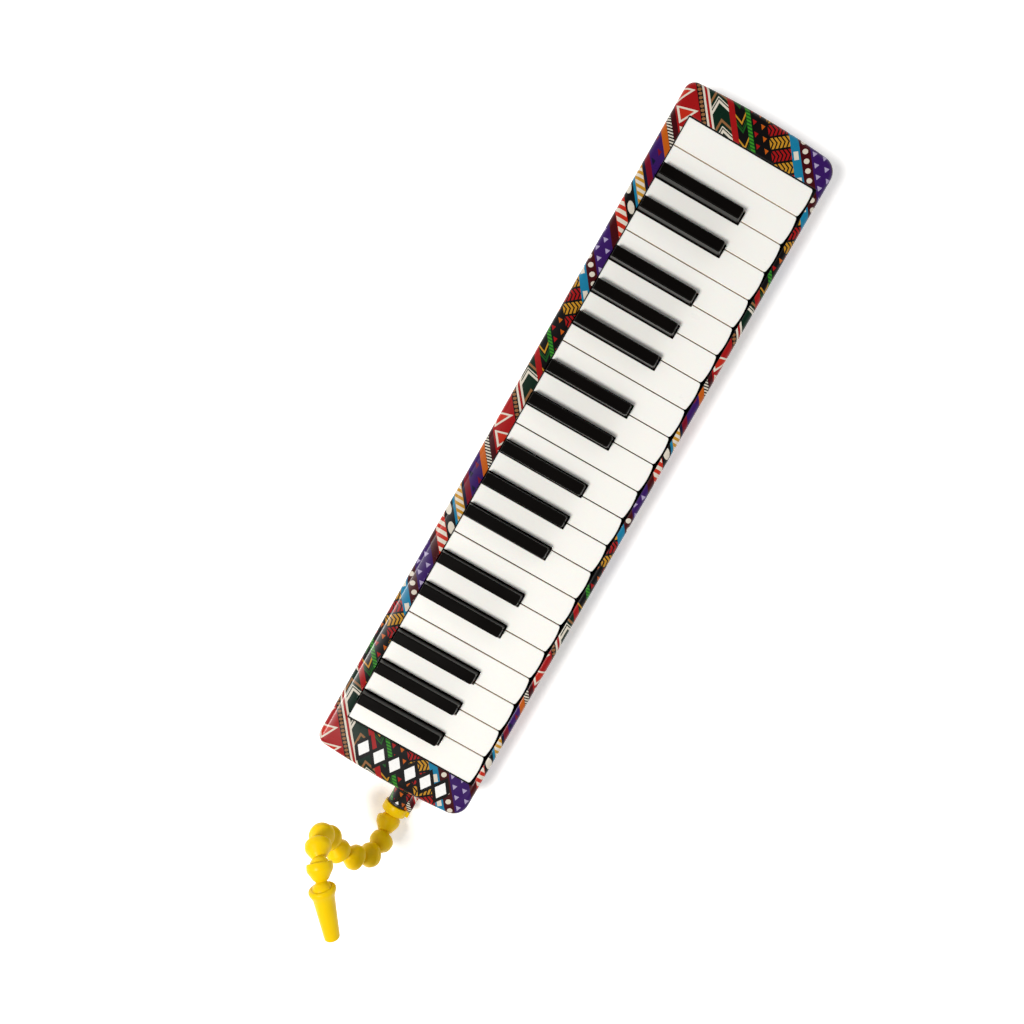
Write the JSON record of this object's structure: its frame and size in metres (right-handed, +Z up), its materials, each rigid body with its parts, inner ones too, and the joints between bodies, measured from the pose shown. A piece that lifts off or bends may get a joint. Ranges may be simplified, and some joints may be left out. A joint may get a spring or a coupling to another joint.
{
  "type": "melodica",
  "caption": "Keyboard wind instrument: a slim printed case with white and black piano keys, reed chest inside, and a jointed yellow blow hose ending in a mouthpiece.",
  "frame": {"origin": "middle of the flat underside of the case, on the surface it rests on", "axes": "+X along the keyboard to the high notes, +Y to the rear of the keys, away from the player, +Z up out of the keys"},
  "size_m": [0.5286, 0.1, 0.1045],
  "materials": {
    "white_key": "glossy off-white moulded ABS, sharp clean edges, tan felt pads under the rear ends",
    "black_key": "glossy black moulded ABS with softly bevelled edges",
    "yellow_plastic": "semi-gloss bright yellow moulded plastic",
    "printed_shell": "glossy black ABS wrapped in a printed geometric textile-like pattern of red, black, white, gold, green, blue and purple bands",
    "lower_shell": "the same glossy print carried round the lower shell over black ABS, satin underneath",
    "printed_socket": "the same glossy print on the blow socket and its guard, black at its end",
    "chest_plastic": "matt dark grey moulded plastic",
    "cover_plastic": "matt grey moulded plastic",
    "reed_brass": "lightly brushed brass plates",
    "reed_bronze": "bright spring bronze tongues",
    "rod_steel": "drawn steel rod",
    "spring_steel": "bright steel spring wire",
    "button_plastic": "semi-gloss black moulded plastic",
    "strap_web": "black woven webbing",
    "screw_steel": "zinc-plated cross-recessed screws"
  },
  "bodies": {
    "case": {"top_case": "printed_shell", "bottom_case": "lower_shell", "blow_socket": "printed_socket", "wind_chest": "chest_plastic", "chest_cover": "cover_plastic", "reed_plates": "reed_brass", "reeds": "reed_bronze", "key_rod": "rod_steel", "key_springs": "spring_steel", "hand_strap": "strap_web", "case_screws": "screw_steel"},
    "white_key_01": {"white_key_01": "white_key"},
    "white_key_02": {"white_key_02": "white_key"},
    "white_key_03": {"white_key_03": "white_key"},
    "white_key_04": {"white_key_04": "white_key"},
    "white_key_05": {"white_key_05": "white_key"},
    "white_key_06": {"white_key_06": "white_key"},
    "white_key_07": {"white_key_07": "white_key"},
    "white_key_08": {"white_key_08": "white_key"},
    "white_key_09": {"white_key_09": "white_key"},
    "white_key_10": {"white_key_10": "white_key"},
    "white_key_11": {"white_key_11": "white_key"},
    "white_key_12": {"white_key_12": "white_key"},
    "white_key_13": {"white_key_13": "white_key"},
    "white_key_14": {"white_key_14": "white_key"},
    "white_key_15": {"white_key_15": "white_key"},
    "white_key_16": {"white_key_16": "white_key"},
    "white_key_17": {"white_key_17": "white_key"},
    "white_key_18": {"white_key_18": "white_key"},
    "white_key_19": {"white_key_19": "white_key"},
    "white_key_20": {"white_key_20": "white_key"},
    "white_key_21": {"white_key_21": "white_key"},
    "white_key_22": {"white_key_22": "white_key"},
    "black_key_01": {"black_key_01": "black_key"},
    "black_key_02": {"black_key_02": "black_key"},
    "black_key_03": {"black_key_03": "black_key"},
    "black_key_04": {"black_key_04": "black_key"},
    "black_key_05": {"black_key_05": "black_key"},
    "black_key_06": {"black_key_06": "black_key"},
    "black_key_07": {"black_key_07": "black_key"},
    "black_key_08": {"black_key_08": "black_key"},
    "black_key_09": {"black_key_09": "black_key"},
    "black_key_10": {"black_key_10": "black_key"},
    "black_key_11": {"black_key_11": "black_key"},
    "black_key_12": {"black_key_12": "black_key"},
    "black_key_13": {"black_key_13": "black_key"},
    "black_key_14": {"black_key_14": "black_key"},
    "black_key_15": {"black_key_15": "black_key"},
    "hose_adapter": {"hose_adapter": "yellow_plastic"},
    "hose_link_1": {"hose_link_1": "yellow_plastic"},
    "hose_link_2": {"hose_link_2": "yellow_plastic"},
    "hose_link_3": {"hose_link_3": "yellow_plastic"},
    "hose_link_4": {"hose_link_4": "yellow_plastic"},
    "hose_link_5": {"hose_link_5": "yellow_plastic"},
    "hose_link_6": {"hose_link_6": "yellow_plastic"},
    "hose_link_7": {"hose_link_7": "yellow_plastic"},
    "hose_link_8": {"hose_link_8": "yellow_plastic"},
    "hose_link_9": {"hose_link_9": "yellow_plastic"},
    "mouthpiece": {"mouthpiece": "yellow_plastic"},
    "drain_valve": {"drain_valve": "button_plastic"}
  },
  "joints": [
    {"name": "white_key_01_press", "type": "hinge", "parent": "case", "child": "white_key_01", "pos_m": [-0.19528, 0.02, 0.03], "axis": [1, 0, 0], "range_deg": [0, 4.2], "stiffness_Nm_per_rad": 0.25, "springref_deg": -4.98, "deforming": ["key_springs"]},
    {"name": "white_key_02_press", "type": "hinge", "parent": "case", "child": "white_key_02", "pos_m": [-0.1748, 0.02, 0.03], "axis": [1, 0, 0], "range_deg": [0, 4.2], "stiffness_Nm_per_rad": 0.25, "springref_deg": -4.98, "deforming": ["key_springs"]},
    {"name": "white_key_03_press", "type": "hinge", "parent": "case", "child": "white_key_03", "pos_m": [-0.1534, 0.02, 0.03], "axis": [1, 0, 0], "range_deg": [0, 4.2], "stiffness_Nm_per_rad": 0.25, "springref_deg": -4.98, "deforming": ["key_springs"]},
    {"name": "white_key_04_press", "type": "hinge", "parent": "case", "child": "white_key_04", "pos_m": [-0.13292, 0.02, 0.03], "axis": [1, 0, 0], "range_deg": [0, 4.2], "stiffness_Nm_per_rad": 0.25, "springref_deg": -4.98, "deforming": ["key_springs"]},
    {"name": "white_key_05_press", "type": "hinge", "parent": "case", "child": "white_key_05", "pos_m": [-0.12097, 0.02, 0.03], "axis": [1, 0, 0], "range_deg": [0, 4.2], "stiffness_Nm_per_rad": 0.25, "springref_deg": -4.98, "deforming": ["key_springs"]},
    {"name": "white_key_06_press", "type": "hinge", "parent": "case", "child": "white_key_06", "pos_m": [-0.0997, 0.02, 0.03], "axis": [1, 0, 0], "range_deg": [0, 4.2], "stiffness_Nm_per_rad": 0.25, "springref_deg": -4.98, "deforming": ["key_springs"]},
    {"name": "white_key_07_press", "type": "hinge", "parent": "case", "child": "white_key_07", "pos_m": [-0.07842, 0.02, 0.03], "axis": [1, 0, 0], "range_deg": [0, 4.2], "stiffness_Nm_per_rad": 0.25, "springref_deg": -4.98, "deforming": ["key_springs"]},
    {"name": "white_key_08_press", "type": "hinge", "parent": "case", "child": "white_key_08", "pos_m": [-0.06648, 0.02, 0.03], "axis": [1, 0, 0], "range_deg": [0, 4.2], "stiffness_Nm_per_rad": 0.25, "springref_deg": -4.98, "deforming": ["key_springs"]},
    {"name": "white_key_09_press", "type": "hinge", "parent": "case", "child": "white_key_09", "pos_m": [-0.046, 0.02, 0.03], "axis": [1, 0, 0], "range_deg": [0, 4.2], "stiffness_Nm_per_rad": 0.25, "springref_deg": -4.98, "deforming": ["key_springs"]},
    {"name": "white_key_10_press", "type": "hinge", "parent": "case", "child": "white_key_10", "pos_m": [-0.0246, 0.02, 0.03], "axis": [1, 0, 0], "range_deg": [0, 4.2], "stiffness_Nm_per_rad": 0.25, "springref_deg": -4.98, "deforming": ["key_springs"]},
    {"name": "white_key_11_press", "type": "hinge", "parent": "case", "child": "white_key_11", "pos_m": [-0.00413, 0.02, 0.03], "axis": [1, 0, 0], "range_deg": [0, 4.2], "stiffness_Nm_per_rad": 0.25, "springref_deg": -4.98, "deforming": ["key_springs"]},
    {"name": "white_key_12_press", "type": "hinge", "parent": "case", "child": "white_key_12", "pos_m": [0.00783, 0.02, 0.03], "axis": [1, 0, 0], "range_deg": [0, 4.2], "stiffness_Nm_per_rad": 0.25, "springref_deg": -4.98, "deforming": ["key_springs"]},
    {"name": "white_key_13_press", "type": "hinge", "parent": "case", "child": "white_key_13", "pos_m": [0.0291, 0.02, 0.03], "axis": [1, 0, 0], "range_deg": [0, 4.2], "stiffness_Nm_per_rad": 0.25, "springref_deg": -4.98, "deforming": ["key_springs"]},
    {"name": "white_key_14_press", "type": "hinge", "parent": "case", "child": "white_key_14", "pos_m": [0.05038, 0.02, 0.03], "axis": [1, 0, 0], "range_deg": [0, 4.2], "stiffness_Nm_per_rad": 0.25, "springref_deg": -4.98, "deforming": ["key_springs"]},
    {"name": "white_key_15_press", "type": "hinge", "parent": "case", "child": "white_key_15", "pos_m": [0.06232, 0.02, 0.03], "axis": [1, 0, 0], "range_deg": [0, 4.2], "stiffness_Nm_per_rad": 0.25, "springref_deg": -4.98, "deforming": ["key_springs"]},
    {"name": "white_key_16_press", "type": "hinge", "parent": "case", "child": "white_key_16", "pos_m": [0.0828, 0.02, 0.03], "axis": [1, 0, 0], "range_deg": [0, 4.2], "stiffness_Nm_per_rad": 0.25, "springref_deg": -4.98, "deforming": ["key_springs"]},
    {"name": "white_key_17_press", "type": "hinge", "parent": "case", "child": "white_key_17", "pos_m": [0.1042, 0.02, 0.03], "axis": [1, 0, 0], "range_deg": [0, 4.2], "stiffness_Nm_per_rad": 0.25, "springref_deg": -4.98, "deforming": ["key_springs"]},
    {"name": "white_key_18_press", "type": "hinge", "parent": "case", "child": "white_key_18", "pos_m": [0.12467, 0.02, 0.03], "axis": [1, 0, 0], "range_deg": [0, 4.2], "stiffness_Nm_per_rad": 0.25, "springref_deg": -4.98, "deforming": ["key_springs"]},
    {"name": "white_key_19_press", "type": "hinge", "parent": "case", "child": "white_key_19", "pos_m": [0.13662, 0.02, 0.03], "axis": [1, 0, 0], "range_deg": [0, 4.2], "stiffness_Nm_per_rad": 0.25, "springref_deg": -4.98, "deforming": ["key_springs"]},
    {"name": "white_key_20_press", "type": "hinge", "parent": "case", "child": "white_key_20", "pos_m": [0.1579, 0.02, 0.03], "axis": [1, 0, 0], "range_deg": [0, 4.2], "stiffness_Nm_per_rad": 0.25, "springref_deg": -4.98, "deforming": ["key_springs"]},
    {"name": "white_key_21_press", "type": "hinge", "parent": "case", "child": "white_key_21", "pos_m": [0.17918, 0.02, 0.03], "axis": [1, 0, 0], "range_deg": [0, 4.2], "stiffness_Nm_per_rad": 0.25, "springref_deg": -4.98, "deforming": ["key_springs"]},
    {"name": "white_key_22_press", "type": "hinge", "parent": "case", "child": "white_key_22", "pos_m": [0.1947, 0.02, 0.03], "axis": [1, 0, 0], "range_deg": [0, 4.2], "stiffness_Nm_per_rad": 0.25, "springref_deg": -4.98, "deforming": ["key_springs"]},
    {"name": "black_key_01_press", "type": "hinge", "parent": "case", "child": "black_key_01", "pos_m": [-0.1855, 0.02, 0.03], "axis": [1, 0, 0], "range_deg": [0, 4.2], "stiffness_Nm_per_rad": 0.25, "springref_deg": -4.98, "deforming": ["key_springs"]},
    {"name": "black_key_02_press", "type": "hinge", "parent": "case", "child": "black_key_02", "pos_m": [-0.1641, 0.02, 0.03], "axis": [1, 0, 0], "range_deg": [0, 4.2], "stiffness_Nm_per_rad": 0.25, "springref_deg": -4.98, "deforming": ["key_springs"]},
    {"name": "black_key_03_press", "type": "hinge", "parent": "case", "child": "black_key_03", "pos_m": [-0.1427, 0.02, 0.03], "axis": [1, 0, 0], "range_deg": [0, 4.2], "stiffness_Nm_per_rad": 0.25, "springref_deg": -4.98, "deforming": ["key_springs"]},
    {"name": "black_key_04_press", "type": "hinge", "parent": "case", "child": "black_key_04", "pos_m": [-0.1105, 0.02, 0.03], "axis": [1, 0, 0], "range_deg": [0, 4.2], "stiffness_Nm_per_rad": 0.25, "springref_deg": -4.98, "deforming": ["key_springs"]},
    {"name": "black_key_05_press", "type": "hinge", "parent": "case", "child": "black_key_05", "pos_m": [-0.0889, 0.02, 0.03], "axis": [1, 0, 0], "range_deg": [0, 4.2], "stiffness_Nm_per_rad": 0.25, "springref_deg": -4.98, "deforming": ["key_springs"]},
    {"name": "black_key_06_press", "type": "hinge", "parent": "case", "child": "black_key_06", "pos_m": [-0.0567, 0.02, 0.03], "axis": [1, 0, 0], "range_deg": [0, 4.2], "stiffness_Nm_per_rad": 0.25, "springref_deg": -4.98, "deforming": ["key_springs"]},
    {"name": "black_key_07_press", "type": "hinge", "parent": "case", "child": "black_key_07", "pos_m": [-0.0353, 0.02, 0.03], "axis": [1, 0, 0], "range_deg": [0, 4.2], "stiffness_Nm_per_rad": 0.25, "springref_deg": -4.98, "deforming": ["key_springs"]},
    {"name": "black_key_08_press", "type": "hinge", "parent": "case", "child": "black_key_08", "pos_m": [-0.0139, 0.02, 0.03], "axis": [1, 0, 0], "range_deg": [0, 4.2], "stiffness_Nm_per_rad": 0.25, "springref_deg": -4.98, "deforming": ["key_springs"]},
    {"name": "black_key_09_press", "type": "hinge", "parent": "case", "child": "black_key_09", "pos_m": [0.0183, 0.02, 0.03], "axis": [1, 0, 0], "range_deg": [0, 4.2], "stiffness_Nm_per_rad": 0.25, "springref_deg": -4.98, "deforming": ["key_springs"]},
    {"name": "black_key_10_press", "type": "hinge", "parent": "case", "child": "black_key_10", "pos_m": [0.0399, 0.02, 0.03], "axis": [1, 0, 0], "range_deg": [0, 4.2], "stiffness_Nm_per_rad": 0.25, "springref_deg": -4.98, "deforming": ["key_springs"]},
    {"name": "black_key_11_press", "type": "hinge", "parent": "case", "child": "black_key_11", "pos_m": [0.0721, 0.02, 0.03], "axis": [1, 0, 0], "range_deg": [0, 4.2], "stiffness_Nm_per_rad": 0.25, "springref_deg": -4.98, "deforming": ["key_springs"]},
    {"name": "black_key_12_press", "type": "hinge", "parent": "case", "child": "black_key_12", "pos_m": [0.0935, 0.02, 0.03], "axis": [1, 0, 0], "range_deg": [0, 4.2], "stiffness_Nm_per_rad": 0.25, "springref_deg": -4.98, "deforming": ["key_springs"]},
    {"name": "black_key_13_press", "type": "hinge", "parent": "case", "child": "black_key_13", "pos_m": [0.1149, 0.02, 0.03], "axis": [1, 0, 0], "range_deg": [0, 4.2], "stiffness_Nm_per_rad": 0.25, "springref_deg": -4.98, "deforming": ["key_springs"]},
    {"name": "black_key_14_press", "type": "hinge", "parent": "case", "child": "black_key_14", "pos_m": [0.1471, 0.02, 0.03], "axis": [1, 0, 0], "range_deg": [0, 4.2], "stiffness_Nm_per_rad": 0.25, "springref_deg": -4.98, "deforming": ["key_springs"]},
    {"name": "black_key_15_press", "type": "hinge", "parent": "case", "child": "black_key_15", "pos_m": [0.1687, 0.02, 0.03], "axis": [1, 0, 0], "range_deg": [0, 4.2], "stiffness_Nm_per_rad": 0.25, "springref_deg": -4.98, "deforming": ["key_springs"]},
    {"name": "hose_swivel", "type": "hinge", "parent": "case", "child": "hose_adapter", "pos_m": [-0.254, -0.0145, 0.015], "axis": [1, 0, 0], "range_deg": [-35, 60]},
    {"name": "hose_link_1_bend", "type": "hinge", "parent": "hose_adapter", "child": "hose_link_1", "pos_m": [-0.254, -0.0145, 0.015], "axis": [0, 0.9564, 0.292], "range_deg": [-68, 1]},
    {"name": "hose_link_2_bend", "type": "hinge", "parent": "hose_link_1", "child": "hose_link_2", "pos_m": [-0.26499, -0.01664, 0.02199], "axis": [-0.4325, 0.7876, -0.4389], "range_deg": [-67, 2]},
    {"name": "hose_link_3_bend", "type": "hinge", "parent": "hose_link_2", "child": "hose_link_3", "pos_m": [-0.27174, -0.01418, 0.03307], "axis": [-0.6634, 0.5346, -0.5236], "range_deg": [-67, 2.5]},
    {"name": "hose_link_4_bend", "type": "hinge", "parent": "hose_link_3", "child": "hose_link_4", "pos_m": [-0.27357, -0.00626, 0.04347], "axis": [-0.8305, 0.3631, -0.4224], "range_deg": [-58, 11.5]},
    {"name": "hose_link_5_bend", "type": "hinge", "parent": "hose_link_4", "child": "hose_link_5", "pos_m": [-0.27242, 0.00475, 0.05066], "axis": [0.027, 0.5446, -0.8383], "range_deg": [-62, 7]},
    {"name": "hose_link_6_bend", "type": "hinge", "parent": "hose_link_5", "child": "hose_link_6", "pos_m": [-0.26524, 0.01394, 0.05685], "axis": [0.7924, -0.6098, -0.0137], "range_deg": [-68, 1.5]},
    {"name": "hose_link_7_bend", "type": "hinge", "parent": "hose_link_6", "child": "hose_link_7", "pos_m": [-0.26121, 0.01891, 0.0684], "axis": [0.7419, -0.6699, 0.0298], "range_deg": [-68, 1]},
    {"name": "hose_link_8_bend", "type": "hinge", "parent": "hose_link_7", "child": "hose_link_8", "pos_m": [-0.26223, 0.01837, 0.08155], "axis": [0.7707, -0.6364, 0.0334], "range_deg": [-68, 1.5]},
    {"name": "hose_link_9_bend", "type": "hinge", "parent": "hose_link_8", "child": "hose_link_9", "pos_m": [-0.26767, 0.01233, 0.09195], "axis": [0.5893, -0.7934, -0.1526], "range_deg": [-66, 3]},
    {"name": "mouthpiece_bend", "type": "hinge", "parent": "hose_link_9", "child": "mouthpiece", "pos_m": [-0.27711, 0.00441, 0.09668], "axis": [0.6318, -0.7743, -0.0357], "range_deg": [-62, 7.5]},
    {"name": "drain_valve_press", "type": "slide", "parent": "case", "child": "drain_valve", "axis": [-1, 0, 0], "range_m": [0, 0.002], "stiffness_N_per_m": 400, "springref_m": -0.002}
  ]
}
